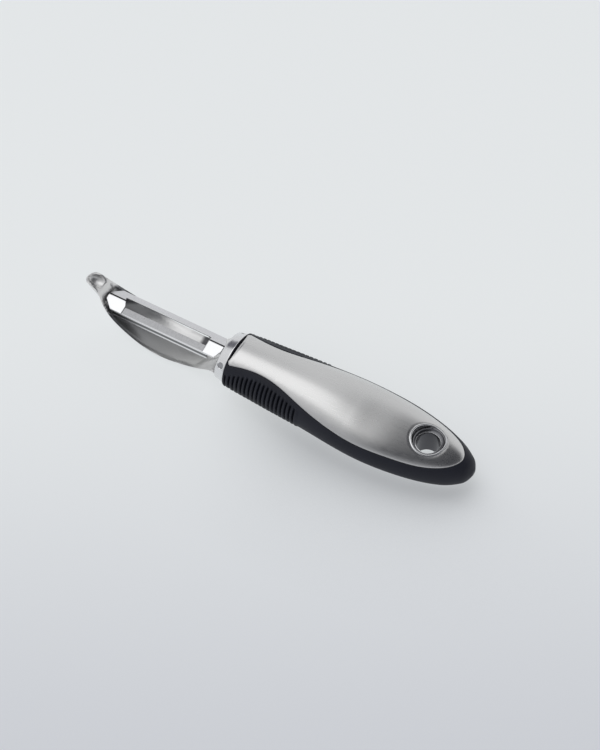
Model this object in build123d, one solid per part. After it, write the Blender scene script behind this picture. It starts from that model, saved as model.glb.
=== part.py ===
from build123d import *
import functools
import math
import os

# The tool lies along X with its head at -X, and rests on the table, which is z = 0.
# All lengths are millimetres.

# Lengths along the tool, and the height of the blade's axis
head_length = 75.0
collar_length = 5.0
handle_length = 120.0
axis_height = 12.6

# Handle body
handle_width = 37.4
handle_height = 24.5
front_lip = 2.0
grip_wall = 3.5
plate_rest = 1.5

# Plates
plate_length = 113.6
plate_width = 32.8
plate_thickness = 1.0
plate_setback = 0.7
plate_corner_radius = 1.6

# Fins of the grip
fin_count = 18
fin_pitch = 2.14
fin_groove_width = 1.0
fin_groove_depth = 0.9
fin_first_offset = 0.9
fin_margin = 3.1

# Hanging hole
hole_from_tail = 23.0
hole_radius = 5.4
hole_rim_radius = 8.5
hole_dish_depth = 4.6
eyelet_tube_wall = 0.9
eyelet_lip = 0.7
eyelet_flange = 1.2

# Collar
collar_front_width = 24.4
collar_front_height = 18.6
collar_rear_width = 26.4
collar_rear_height = 21.4
spigot_width = 17.0
spigot_height = 11.0
spigot_length = 12.0
collar_pin_radius = 1.3
collar_pin_angle = 34.0
collar_pin_length = 5.0
collar_pin_recess = 0.3

# Neck plug and tang inside the handle
plug_width = 18.0
plug_height = 13.6
plug_length = 4.0
tang_width = 8.2
tang_thickness = 5.0
tang_length = 60.0
tang_pin_radius = 1.5
tang_pin_length = 18.0
tang_pin_from_collar = 33.0

# Head casting
bow_width = 20.4
bow_rim_wall = 1.2
scoop_length = 11.2
scoop_width = 6.6
scoop_from_tip = 6.6
scoop_back_from_tip = 8.5
pivot_boss_radius = 3.2
post_slope_length = 1.3
post_slope_foot = 2.9
post_slope_rise = 4.1
post_slope_width = 7.6

# Blade: the crown, edge and skirt are heights over and under the blade's axis
blade_width = 12.0
blade_thickness = 0.8
blade_crown = 3.9
blade_edge = 2.5
blade_skirt = 1.2
blade_nose_width = 4.2
blade_front_taper = 4.2
blade_rear_taper = 1.8
skirt_setback = 5.4
slot_width = 5.2
slot_length = 45.7
slot_slant = 2.6
slot_corner_radius = 0.4
slot_from_front = 7.6
slot_edge_thickness = 0.35
slot_bevel_width = 1.5
slit_width = 0.6
slit_offset = 0.8
hub_radius = 2.1
hub_length = 2.4
blade_end_gap = 0.5
blade_swing = 20.0
swing_clearance = 0.35

# Pivot pins
pivot_radius = 1.2
pivot_running_clearance = 0.05
pivot_end_clearance = 0.2
front_pivot_length = 4.6
rear_pivot_length = 4.6

# Studs that hold the plates
stud_radius = 2.0
stud_length = 4.0
stud_head_radius = 3.2
stud_head_thickness = 0.8

# General fits
seat_gap = 0.05
overrun = 3.0

# Handle sections: place along the handle, then half width, top and underside,
# as shares of the handle's length, half width and height
handle_shares = (
    (0.000, 0.743, 0.967, 0.057),
    (0.100, 0.775, 0.984, 0.026),
    (0.208, 0.824, 0.996, 0.006),
    (0.333, 0.882, 1.000, 0.000),
    (0.458, 0.963, 0.963, 0.000),
    (0.583, 1.000, 0.894, 0.000),
    (0.667, 0.972, 0.872, 0.000),
    (0.750, 0.899, 0.849, 0.000),
    (0.817, 0.805, 0.824, 0.004),
    (0.883, 0.668, 0.788, 0.020),
    (0.933, 0.519, 0.731, 0.073),
    (0.967, 0.373, 0.661, 0.155),
    (0.9875, 0.231, 0.580, 0.253),
    (0.998, 0.095, 0.490, 0.363),
)

# Plate outline seen from above: place along the plate and half width, as shares
plate_shares = (
    (0.000, 0.610),
    (0.075, 0.531),
    (0.125, 0.508),
    (0.205, 0.552),
    (0.316, 0.732),
    (0.418, 0.885),
    (0.590, 1.000),
    (0.755, 0.905),
    (0.870, 0.735),
    (0.940, 0.525),
    (0.982, 0.290),
)

# Head sections from the collar to the tip: place along the head as a share of its length, half width
# as a share of the bow's, then the rim and the keel as shares of the axis height, over the blade's axis
head_shares = (
    (0.000, 1.167, 0.000, -0.738),
    (0.024, 1.110, -0.048, -0.746),
    (0.067, 1.000, -0.222, -0.770),
    (0.120, 0.931, -0.444, -0.825),
    (0.200, 0.902, -0.659, -0.897),
    (0.307, 0.961, -0.754, -0.968),
    (0.427, 0.990, -0.778, -1.000),
    (0.533, 0.980, -0.675, -0.976),
    (0.627, 0.941, -0.468, -0.905),
    (0.707, 0.892, -0.230, -0.786),
    (0.773, 0.804, -0.016, -0.635),
    (0.852, 0.583, 0.411, -0.327),
    (0.887, 0.437, 0.667, -0.151),
    (0.940, 0.385, 0.825, 0.206),
    (0.980, 0.265, 0.815, 0.540),
    (0.997, 0.110, 0.770, 0.683),
)

# The hollow over the bow: the head sections it runs between, and its floor's height at each
# as a share of the axis height, over the blade's axis
bay_sections = range(5, 12)
bay_floor_shares = (-0.865, -0.897, -0.873, -0.802, -0.675, -0.508, -0.210)

# The two ends of the ramp behind that hollow, as head sections with a floor of their own
ramp_foot_shares = (0.173, 0.905, -0.600, -0.870)
ramp_foot_floor_share = -0.790
ramp_top_shares = (0.044, 0.373, -0.120, -0.758)
ramp_top_floor_share = -0.200

# Share of the plate's length at which each stud stands
stud_shares = (0.09, 0.33, 0.57)

# Points drawn round a section, and steps of the blade's swing each way
section_points = 16
swing_steps = 4

# Places along X
tail_x = (head_length + collar_length + handle_length) / 2
handle_x = tail_x - handle_length
collar_x = handle_x - collar_length
tip_x = collar_x - head_length
hole_x = tail_x - hole_from_tail
plate_x = handle_x + plate_setback
bay_rear_x = collar_x - head_length * head_shares[1][0]
ramp_top_x = collar_x - head_length * ramp_top_shares[0]
bay_front_x = collar_x - head_length * head_shares[bay_sections[-1]][0]
blade_rear_x = bay_rear_x - blade_end_gap
blade_front_x = bay_front_x + blade_end_gap
slot_front_x = blade_front_x + slot_from_front
front_hub_x = blade_front_x + hub_length
rear_hub_x = blade_rear_x - hub_length
front_pin_x = front_hub_x - front_pivot_length
rear_pin_x = rear_hub_x + rear_pivot_length


def cross_plane(x, height):
    """A plane square to the tool: its own x runs across the tool, and its own y runs up."""
    return Plane(origin=(x, 0, height), x_dir=(0, 1, 0), z_dir=(1, 0, 0))


def oval(x, height, half_width, half_height):
    """An oval face square to the tool, as one closed spline."""
    points = []
    for index in range(section_points):
        angle = 2 * math.pi * index / section_points
        points.append((half_width * math.cos(angle), half_height * math.sin(angle)))
    return cross_plane(x, height) * make_face(Spline(*points, periodic=True))


def upright_bar(x, radius, low, high):
    """A round bar along Z between two heights."""
    return Pos(x, 0, low) * Cylinder(radius, high - low, align=(Align.CENTER, Align.CENTER, Align.MIN))


def level_bar(x_start, x_end, radius, height):
    """A round bar along X at a height."""
    return extrude(cross_plane(x_start, height) * Circle(radius), x_end - x_start)


def wide_box(x_low, x_high, z_low, z_high):
    """A box wider than the handle, between two places along X and two heights."""
    centre = Pos((x_low + x_high) / 2, 0, (z_low + z_high) / 2)
    return centre * Box(x_high - x_low, handle_width + 2 * overrun, z_high - z_low)


# Handle


def handle_heights(x):
    """Top and underside of the handle at a place along it."""
    along = (x - handle_x) / handle_length
    spans = [pair for pair in zip(handle_shares, handle_shares[1:]) if pair[0][0] <= along <= pair[1][0]]
    before, after = spans[0]
    share = (along - before[0]) / (after[0] - before[0])
    top = before[2] + (after[2] - before[2]) * share
    under = before[3] + (after[3] - before[3]) * share
    return handle_height * top, handle_height * under


@functools.cache
def handle_form(inset):
    """The outer form of the whole handle, drawn in all round by an inset."""
    width_factor = 1 - 2 * inset / handle_width
    height_factor = 1 - 2 * inset / handle_height
    faces = []
    for along, width, top, under in handle_shares:
        x = handle_x + (handle_length - inset) * along
        middle = handle_height * (top + under) / 2
        half_width = handle_width / 2 * width * width_factor
        half_height = handle_height / 2 * (top - under) * height_factor
        faces.append(oval(x, middle, half_width, half_height))
    return loft(faces)


@functools.cache
def outline_prism(grow):
    """The plate's outline seen from above, grown all round, as a tall prism."""
    near = []
    for along, width in plate_shares:
        near.append((plate_x + plate_length * along, -plate_width / 2 * width - grow))
    near[0] = (plate_x - grow, near[0][1])
    tail = (plate_x + plate_length + grow, 0)
    far = [(x, -y) for x, y in reversed(near)]
    edge = Spline(*near, tail, *far)
    front = Line(far[-1], near[0])
    outline = make_face([edge, front])
    corners = outline.vertices().sort_by(Axis.X)[:2]
    outline = fillet(corners, plate_corner_radius)
    return Pos(0, 0, -overrun) * extrude(outline, handle_height + 2 * overrun)


def make_plates(form):
    """Both steel plates: the handle's skin within the plate outline, with the rim hole cut."""
    skin = (form - handle_form(plate_thickness)) & outline_prism(0)
    skin = skin - upright_bar(hole_x, hole_rim_radius + seat_gap, -overrun, handle_height + overrun)
    shells = skin.solids().sort_by(Axis.Z)
    return shells[-1], shells[0]


def core_form(gap):
    """The plastic core, grown by a gap: slim under the grip, full under the plates."""
    ridge = handle_form(plate_thickness + seat_gap - gap) & outline_prism(gap - plate_rest)
    core = handle_form(grip_wall - gap) + ridge
    core_x = handle_x + front_lip - gap
    return core & wide_box(core_x, tail_x + overrun, -overrun, handle_height + overrun)


def fin_grooves():
    """Upright grooves on both sides of the grip, clear of the plates."""
    keep = handle_form(fin_groove_depth) + outline_prism(fin_margin)
    grooves = []
    for index in range(fin_count):
        x = handle_x + fin_first_offset + fin_pitch * index
        slab = wide_box(x, x + fin_groove_width, -overrun, handle_height + overrun)
        grooves.append(slab - keep)
    return grooves


def make_grip(form):
    """The rubber grip: all of the handle's form outside core and plates, with the fins cut."""
    grip = form - core_form(seat_gap)
    grip = grip - (outline_prism(seat_gap) - handle_form(plate_thickness + seat_gap))
    return grip - spigot(seat_gap) - fin_grooves()


def make_core():
    """The plastic core with its sockets."""
    core = core_form(0) - tang_bar(seat_gap) - spigot(seat_gap) - tang_pin_bar(seat_gap)
    core = core - eyelet_room(seat_gap)
    for x, side in stud_places():
        core = core - stud_blank(x, side, seat_gap)
    return core


# Studs under the plates


def stud_places():
    """Where the studs stand along X, with 1 for those under the top plate and -1 for the bottom one."""
    return [(plate_x + plate_length * share, side) for side in (1, -1) for share in stud_shares]


def stud_blank(x, side, gap):
    """A stud grown by a gap, with its flat head run out past the plate."""
    top, under = handle_heights(x)
    seat = (top if side > 0 else under) - side * (plate_thickness + seat_gap)
    outside = seat + side * overrun
    neck = seat - side * (stud_head_thickness + gap)
    foot = seat - side * (stud_length + gap)
    head = upright_bar(x, stud_head_radius + gap, min(outside, neck), max(outside, neck))
    shank = upright_bar(x, stud_radius + gap, min(foot, neck), max(foot, neck))
    return head + shank


def make_studs():
    """All six studs, their heads shaped to the plates' inner faces."""
    form = handle_form(plate_thickness + seat_gap)
    return [stud_blank(x, side, 0) & form for x, side in stud_places()]


# Eyelet in the hanging hole


def eyelet_levels():
    """Height of the handle's middle at the hole, and of the dish's bottom over that middle."""
    top, under = handle_heights(hole_x)
    return (top + under) / 2, (top - under) / 2 - hole_dish_depth


def flare(grow):
    """The flared upper end of the eyelet as a solid, about the hole's own middle."""
    mouth = eyelet_levels()[1]
    tube_radius = hole_radius + eyelet_tube_wall + grow
    rim_radius = hole_rim_radius + grow
    base = mouth - eyelet_flange - grow
    shoulder = base + hole_dish_depth / 2
    profile = Polyline(
        (0, base),
        (tube_radius, base),
        (rim_radius, shoulder),
        (rim_radius, handle_height),
        (0, handle_height),
        close=True,
    )
    return revolve(Plane.XZ * make_face(profile), Axis.Z)


def eyelet_tube(grow):
    """The eyelet's tube between the bottoms of both dishes."""
    middle, mouth = eyelet_levels()
    return upright_bar(hole_x, hole_radius + eyelet_tube_wall + grow, middle - mouth, middle + mouth)


def eyelet_room(grow):
    """The room that the eyelet and its washer take up, grown by a gap."""
    middle = eyelet_levels()[0]
    upper = flare(grow)
    lower = mirror(upper, Plane.XY)
    return Pos(hole_x, 0, middle) * (upper + lower) + eyelet_tube(grow)


def eyelet_hollow():
    """The bore with a dished mouth at each end."""
    middle, mouth = eyelet_levels()
    wide = hole_rim_radius - eyelet_lip
    top = mouth + hole_dish_depth
    turn = ((hole_radius + 2 * wide) / 3, mouth + hole_dish_depth / 3)
    wall = ThreePointArc((hole_radius, mouth), turn, (wide, top))
    rest = Polyline((wide, top), (wide, handle_height), (0, handle_height), (0, mouth), (hole_radius, mouth))
    upper = revolve(Plane.XZ * make_face([wall, *rest.edges()]), Axis.Z)
    lower = mirror(upper, Plane.XY)
    bore = upright_bar(hole_x, hole_radius, -overrun, handle_height + overrun)
    return bore + Pos(hole_x, 0, middle) * (upper + lower)


def make_eyelet(form):
    """The eyelet with its upper flange and tube, and the washer with the lower flange."""
    middle = eyelet_levels()[0]
    upper = flare(0)
    eyelet = Pos(hole_x, 0, middle) * upper + eyelet_tube(0)
    washer = Pos(hole_x, 0, middle) * mirror(upper, Plane.XY) - eyelet_tube(seat_gap)
    hollow = eyelet_hollow()
    return (eyelet & form) - hollow, (washer & form) - hollow


# Collar and its pins


def spigot(gap):
    """The collar's oval spigot that enters the core, grown by a gap."""
    face = oval(handle_x, axis_height, spigot_width / 2 + gap, spigot_height / 2 + gap)
    return extrude(face, spigot_length + gap)


def collar_pin(side, gap, reach_out):
    """A short pin square to the collar's upper flank on one side, lengthened outwards by reach_out."""
    angle = math.radians(collar_pin_angle)
    reach_y = (collar_front_width + collar_rear_width) / 4 * math.cos(angle)
    reach_z = (collar_front_height + collar_rear_height) / 4 * math.sin(angle)
    lean = math.degrees(math.atan2(reach_y, reach_z))
    inner_end = math.hypot(reach_y, reach_z) - collar_pin_recess - collar_pin_length - gap
    length = collar_pin_length + gap + reach_out
    bar = Cylinder(collar_pin_radius + gap, length, align=(Align.CENTER, Align.CENTER, Align.MIN))
    centre = Pos((collar_x + handle_x) / 2, 0, axis_height)
    return centre * Rot(-side * lean, 0, 0) * Pos(0, 0, inner_end) * bar


def make_collar():
    """The oval ferrule with its spigot, bored for the neck's plug and the tang."""
    front = oval(collar_x, axis_height, collar_front_width / 2, collar_front_height / 2)
    rear = oval(handle_x, axis_height, collar_rear_width / 2, collar_rear_height / 2)
    collar = loft([front, rear]) + spigot(0)
    collar = collar - neck_plug(seat_gap) - tang_bar(seat_gap)
    for side in (1, -1):
        collar = collar - collar_pin(side, seat_gap, overrun)
    return collar


# Head with its neck and tang


def neck_plug(gap):
    """The neck's oval plug inside the collar, grown by a gap."""
    face = oval(collar_x, axis_height, plug_width / 2 + gap, plug_height / 2 + gap)
    return extrude(face, plug_length + gap)


def tang_bar(gap):
    """The flat tang from the neck into the handle, grown by a gap."""
    length = tang_length + gap
    bar = Box(length, tang_width + 2 * gap, tang_thickness + 2 * gap)
    return Pos(collar_x + length / 2, 0, axis_height) * bar


def tang_pin_bar(gap):
    """The cross pin through core and tang, grown by a gap."""
    x = collar_x + tang_pin_from_collar
    return Pos(x, 0, axis_height) * Rot(90, 0, 0) * Cylinder(tang_pin_radius + gap, tang_pin_length + 2 * gap)


def head_face(row):
    """One solid section of the head: a curved keel closed by a straight line between its rims."""
    along, width, rim, keel = row
    half = bow_width / 2 * width
    rim_z = axis_height * rim
    keel_z = axis_height * keel
    bowl = Bezier((-half, rim_z), (0, 2 * keel_z - rim_z), (half, rim_z))
    lid = Line((half, rim_z), (-half, rim_z))
    return cross_plane(collar_x - head_length * along, axis_height) * make_face([bowl, lid])


def bay_face(row, floor):
    """One section of the hollow over the bow, open at the top."""
    along, width, rim = row[:3]
    half = bow_width / 2 * width - bow_rim_wall
    rim_z = axis_height * rim
    floor_z = axis_height * floor
    top = axis_height + overrun
    bowl = Bezier((-half, rim_z), (0, 2 * floor_z - rim_z), (half, rim_z))
    sides = Polyline((half, rim_z), (half, top), (-half, top), (-half, rim_z))
    return cross_plane(collar_x - head_length * along, axis_height) * make_face([bowl, *sides.edges()])


def bay_hollow():
    """The long hollow over the bow with the ramp behind it."""
    foot = bay_face(ramp_foot_shares, ramp_foot_floor_share)
    top = bay_face(ramp_top_shares, ramp_top_floor_share)
    rows = [head_shares[index] for index in bay_sections]
    long_hollow = loft([foot] + [bay_face(row, floor) for row, floor in zip(rows, bay_floor_shares)])
    return long_hollow + loft([foot, top], ruled=True)


def hub_room():
    """The notch in the neck for the blade's rear hub, open at the top."""
    half = hub_radius + swing_clearance
    length = bay_rear_x - ramp_top_x + post_slope_length
    centre = Pos(bay_rear_x - length / 2, 0, axis_height + (overrun - half) / 2)
    return centre * Box(length, 2 * half, overrun + half)


def post_slope():
    """The wedge cut off the post's rear face over the pivot, between the rims."""
    foot = axis_height + post_slope_foot
    brow = foot + post_slope_rise
    points = [
        (bay_front_x, foot),
        (bay_front_x - post_slope_length, brow),
        (bay_front_x - post_slope_length, brow + overrun),
        (bay_front_x + overrun, brow + overrun),
        (bay_front_x + overrun, foot),
    ]
    side = Plane.XZ * make_face(Polyline(*points, close=True))
    return extrude(side, post_slope_width / 2, both=True)


def scoop_hollow():
    """The spoon-shaped hollow of the scoop at the tip, with a flat back wall, on the level of its rim."""
    level = axis_height * (1 + head_shares[-3][2])
    half = EllipticalCenterArc((0, 0), scoop_length / 2, scoop_width / 2, 0, arc_size=180)
    base = Line(half @ 0, half @ 1)
    spoon = Pos(tip_x + scoop_from_tip, 0, level) * revolve(make_face([half, base]), Axis.X)
    back_x = tip_x + scoop_back_from_tip
    return spoon & wide_box(tip_x - overrun, back_x, level - scoop_width, level + scoop_width)


def make_head():
    """The cast head: bow, scoop, post, neck, plug and tang in one piece."""
    body = loft([head_face(row) for row in head_shares])
    head = body - bay_hollow() - hub_room() - post_slope()
    for room in swept_rooms():
        head = head - room
    head = head - scoop_hollow()
    head = head + neck_plug(0) + tang_bar(0)
    head = head + level_bar(bay_rear_x, collar_x + plug_length, pivot_boss_radius, axis_height)
    bore = pivot_radius + pivot_running_clearance
    front_end = front_pin_x - pivot_end_clearance
    rear_end = rear_pin_x + pivot_end_clearance
    head = head - level_bar(front_end, front_hub_x, bore, axis_height)
    head = head - level_bar(rear_hub_x, rear_end, bore, axis_height)
    for side in (1, -1):
        head = head - collar_pin(side, seat_gap, overrun)
    return head - tang_pin_bar(seat_gap)


# Blade


def blade_outline(grow):
    """The blade seen from above, with a tapered nose at each end, as a tall prism about height zero."""
    half = blade_width / 2 + grow
    nose = blade_nose_width / 2 + grow
    front = blade_front_x - grow
    rear = blade_rear_x + grow
    near = [
        (front, -nose),
        (front + blade_front_taper, -half),
        (rear - blade_rear_taper, -half),
        (rear, -nose),
    ]
    far = [(x, -y) for x, y in reversed(near)]
    return extrude(make_face(Polyline(*near, *far, close=True)), blade_width, both=True)


def roof_prism(start, end, low):
    """A bar under the blade's roof shape with clearance, down to a height, about height zero."""
    half = blade_width / 2 + swing_clearance
    eaves = blade_edge + swing_clearance
    points = [(-half, low), (half, low), (half, eaves), (0, blade_crown + swing_clearance), (-half, eaves)]
    return extrude(cross_plane(start, 0) * make_face(Polyline(*points, close=True)), end - start)


def swept_rooms():
    """The space that the blade sweeps between its stops, with clearance all round, one step at a time."""
    sheet_low = blade_edge - blade_thickness - swing_clearance
    skirt_low = -blade_skirt - swing_clearance
    skirt_start = blade_front_x + skirt_setback - swing_clearance
    skirt_end = blade_rear_x - skirt_setback + swing_clearance
    sheet = roof_prism(blade_front_x - overrun, blade_rear_x + overrun, sheet_low)
    swept = (sheet + roof_prism(skirt_start, skirt_end, skirt_low)) & blade_outline(swing_clearance)
    rooms = []
    for step in range(-swing_steps, swing_steps + 1):
        rooms.append(Pos(0, 0, axis_height) * Rot(blade_swing * step / swing_steps, 0, 0) * swept)
    return rooms


def blade_section():
    """The blade's section across: a low roof with a turned-down skirt at each side."""
    half = blade_width / 2
    wall = blade_thickness
    right = [
        (0, blade_crown),
        (half, blade_edge),
        (half, -blade_skirt),
        (half - wall, -blade_skirt),
        (half - wall, blade_edge - wall),
        (0, blade_crown - wall),
    ]
    left = [(-y, z) for y, z in right[-2:0:-1]]
    return cross_plane(blade_front_x, axis_height) * make_face(Polyline(*right, *left, close=True))


def slot_bevels():
    """The hollow that thins the blade from below on both sides of the slot."""
    half = slot_width / 2
    foot = half + slot_bevel_width
    low = blade_edge - blade_thickness - blade_crown
    high = blade_crown - slot_edge_thickness
    fall = (blade_crown - blade_edge) / (blade_width / 2)
    bevel_top = high - fall * half
    bevel_foot = blade_crown - blade_thickness - fall * foot
    points = [
        (-foot, low),
        (-foot, bevel_foot),
        (-half, bevel_top),
        (half, bevel_top),
        (foot, bevel_foot),
        (foot, low),
    ]
    face = cross_plane(slot_front_x + slot_slant, axis_height) * make_face(Polyline(*points, close=True))
    return extrude(face, slot_length - slot_slant - slot_bevel_width)


def slot_prism():
    """The slot seen from above, with a slanted front end, as a tall prism about height zero."""
    half = slot_width / 2
    rear = slot_front_x + slot_length
    corners = [(slot_front_x + slot_slant, -half), (rear, -half), (rear, half), (slot_front_x, half)]
    outline = make_face(Polyline(*corners, close=True))
    outline = fillet(outline.vertices(), slot_corner_radius)
    return extrude(outline, blade_width, both=True)


def blade_end(start, end):
    """A hub and the web that joins it to the blade's sheet."""
    web_height = blade_crown - blade_thickness
    web = Box(end - start, 2 * hub_radius, web_height, align=(Align.MIN, Align.CENTER, Align.MIN))
    web = Pos(start, 0, axis_height) * web
    return level_bar(start, end, hub_radius, axis_height) + web


def slits():
    """The two narrow slits that run through the sheet from the slot to the noses."""
    low = axis_height + blade_crown - blade_thickness - slit_width
    high = axis_height + blade_crown + overrun
    whole = Box(blade_rear_x - blade_front_x + 2 * overrun, slit_width, high - low)
    return Pos((blade_front_x + blade_rear_x) / 2, slit_offset, (low + high) / 2) * whole


def make_blade():
    """The slotted blade with its skirts, slits, noses and hubs."""
    blade = extrude(blade_section(), blade_rear_x - blade_front_x)
    for start, end in ((blade_front_x, front_hub_x), (rear_hub_x, blade_rear_x)):
        blade = blade + blade_end(start, end)
    blade = blade & (Pos(0, 0, axis_height) * blade_outline(0))
    blade = blade - Pos(0, 0, axis_height) * slot_prism()
    blade = blade - slot_bevels() - slits()
    skirt_low = axis_height - blade_width
    skirt_high = axis_height + blade_edge - blade_thickness
    blade = blade - wide_box(blade_front_x, blade_front_x + skirt_setback, skirt_low, skirt_high)
    blade = blade - wide_box(blade_rear_x - skirt_setback, blade_rear_x, skirt_low, skirt_high)
    for start, end in ((blade_front_x, front_hub_x), (rear_hub_x, blade_rear_x)):
        blade = blade - level_bar(start, end, pivot_radius + seat_gap, axis_height)
    return blade


def save(node, *pieces):
    """Write one node's solids to its own file."""
    solids = []
    for piece in pieces:
        solids.extend(piece.solids())
    body = solids[0] if len(solids) == 1 else Compound(children=solids)
    export_step(body, "parts/" + node + ".step")


os.makedirs("parts", exist_ok=True)
whole_form = handle_form(0)
top_plate, bottom_plate = make_plates(whole_form)
eyelet, washer = make_eyelet(whole_form)

save("head_frame", make_head())
save("blade", make_blade())
save("front_pivot_pin", level_bar(front_pin_x, front_hub_x, pivot_radius, axis_height))
save("rear_pivot_pin", level_bar(rear_hub_x, rear_pin_x, pivot_radius, axis_height))
save("collar", make_collar())
save("collar_pins", collar_pin(1, 0, 0), collar_pin(-1, 0, 0))
save("handle_core", make_core())
save("grip", make_grip(whole_form))
save("top_plate", top_plate)
save("bottom_plate", bottom_plate)
save("plate_studs", *make_studs())
save("tang_pin", tang_pin_bar(0))
save("eyelet", eyelet)
save("eyelet_washer", washer)
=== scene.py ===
import math
import bmesh
import bpy
import numpy as np
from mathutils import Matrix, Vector
from mathutils.geometry import delaunay_2d_cdt


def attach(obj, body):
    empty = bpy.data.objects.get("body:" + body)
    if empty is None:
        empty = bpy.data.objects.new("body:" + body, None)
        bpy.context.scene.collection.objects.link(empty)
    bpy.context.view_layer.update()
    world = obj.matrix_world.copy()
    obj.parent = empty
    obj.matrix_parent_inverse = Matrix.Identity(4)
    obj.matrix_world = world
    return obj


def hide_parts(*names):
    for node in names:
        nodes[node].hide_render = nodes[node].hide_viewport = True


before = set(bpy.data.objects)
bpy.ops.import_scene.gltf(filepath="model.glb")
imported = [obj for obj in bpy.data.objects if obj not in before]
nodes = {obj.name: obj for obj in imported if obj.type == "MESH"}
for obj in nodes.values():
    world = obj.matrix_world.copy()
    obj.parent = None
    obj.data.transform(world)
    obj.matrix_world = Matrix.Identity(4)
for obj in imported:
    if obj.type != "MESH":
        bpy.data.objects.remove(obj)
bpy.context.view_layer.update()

mm = 0.001
scene = bpy.context.scene

# Camera
# The tool is seen from past its tail and the near side, from well above and about a metre away,
# through a long lens.
camera_place = Vector((0.3041, -0.5050, 0.8255))
camera_aim = Vector((0.01017, 0.0040, 0.0165))
lens_length = 107.69

camera_data = bpy.data.cameras.new("camera")
camera_data.lens = lens_length
camera_data.clip_start = 0.05
camera_data.clip_end = 20.0
camera = bpy.data.objects.new("camera", camera_data)
camera.location = camera_place
camera.rotation_mode = "QUATERNION"
camera.rotation_quaternion = (camera_aim - camera_place).to_track_quat("-Z", "Y")
scene.collection.objects.link(camera)
scene.camera = camera
scene.view_settings.view_transform = "Standard"


# Table top
# A smooth matt white table, which the tool lies on. It holds the soft shadow and gives the steel
# its pale underside.
class Value:
    """A shader value that takes part in plain arithmetic."""

    def __init__(self, tree, socket):
        self.tree = tree
        self.socket = socket

    def maths(self, operation, first, second):
        node = self.tree.nodes.new("ShaderNodeMath")
        node.operation = operation
        join(self.tree, first, node.inputs[0])
        join(self.tree, second, node.inputs[1])
        return Value(self.tree, node.outputs[0])

    def __add__(self, other):
        return self.maths("ADD", self, other)

    def __radd__(self, other):
        return self.maths("ADD", other, self)

    def __sub__(self, other):
        return self.maths("SUBTRACT", self, other)

    def __rsub__(self, other):
        return self.maths("SUBTRACT", other, self)

    def __mul__(self, other):
        return self.maths("MULTIPLY", self, other)

    def __rmul__(self, other):
        return self.maths("MULTIPLY", other, self)

    def __truediv__(self, other):
        return self.maths("DIVIDE", self, other)

    def __rtruediv__(self, other):
        return self.maths("DIVIDE", other, self)

    def __mod__(self, other):
        return self.maths("FLOORED_MODULO", self, other)

    def at_most(self, other):
        return self.maths("MINIMUM", self, other)

    def above(self, other):
        return self.maths("GREATER_THAN", self, other)

    def output(self, key):
        """Another output of the same node."""
        return Value(self.tree, self.socket.node.outputs[key])


def join(tree, value, socket):
    """Link a shader value to a socket, or set a plain number or colour on it."""
    if isinstance(value, Value):
        tree.links.new(value.socket, socket)
    else:
        socket.default_value = value


class Graph:
    """A node tree that is put together node by node."""

    def __init__(self, tree):
        self.tree = tree

    def add(self, kind, settings, sockets, output=0):
        """One node: its settings first, then its sockets by name or number."""
        node = self.tree.nodes.new(kind)
        for key, value in settings.items():
            setattr(node, key, value)
        for key, value in sockets.items():
            join(self.tree, value, node.inputs[key])
        return Value(self.tree, node.outputs[output])

    def axes(self, spot):
        """The three parts of a vector as values."""
        first = self.add("ShaderNodeSeparateXYZ", {}, {0: spot})
        return first, first.output(1), first.output(2)

    def ramp(self, value, low, high):
        """A soft step from 0 to 1 between two values."""
        settings = {"interpolation_type": "SMOOTHSTEP"}
        return self.add("ShaderNodeMapRange", settings, {"Value": value, 1: low, 2: high, 3: 0.0, 4: 1.0})

    def blend(self, share, first, second):
        """A colour between two colours."""
        settings = {"data_type": "RGBA"}
        return self.add("ShaderNodeMix", settings, {0: share, 6: first, 7: second}, 2)


class Finish(Graph):
    """A material on the Principled shader."""

    def __init__(self, name):
        self.material = bpy.data.materials.new(name)
        self.material.use_nodes = True
        super().__init__(self.material.node_tree)
        self.shader = self.tree.nodes["Principled BSDF"]

    def place(self, stretch=(1, 1, 1)):
        """Object coordinates, stretched by three factors."""
        spot = self.add("ShaderNodeTexCoord", {}, {}, "Object")
        return self.add("ShaderNodeMapping", {}, {"Vector": spot, "Scale": stretch})

    def noise(self, stretch, scale, detail=3.0, roughness=0.55):
        """Fractal noise from 0 to 1 on stretched object coordinates."""
        sockets = {"Vector": self.place(stretch), "Scale": scale, "Detail": detail, "Roughness": roughness}
        return self.add("ShaderNodeTexNoise", {}, sockets)

    def bump(self, height):
        """A relief of a height in metres, into the shader's normal."""
        self.set(Normal=self.add("ShaderNodeBump", {}, {"Strength": 1.0, "Distance": 1.0, "Height": height}))

    def set(self, **sockets):
        """Set or link the shader's own sockets, with _ for a space."""
        for key, value in sockets.items():
            join(self.tree, value, self.shader.inputs[key.replace("_", " ")])


def link_mesh(name, mesh, material):
    """A new object with one material."""
    mesh.materials.append(material)
    piece = bpy.data.objects.new(name, mesh)
    scene.collection.objects.link(piece)
    return piece


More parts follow.
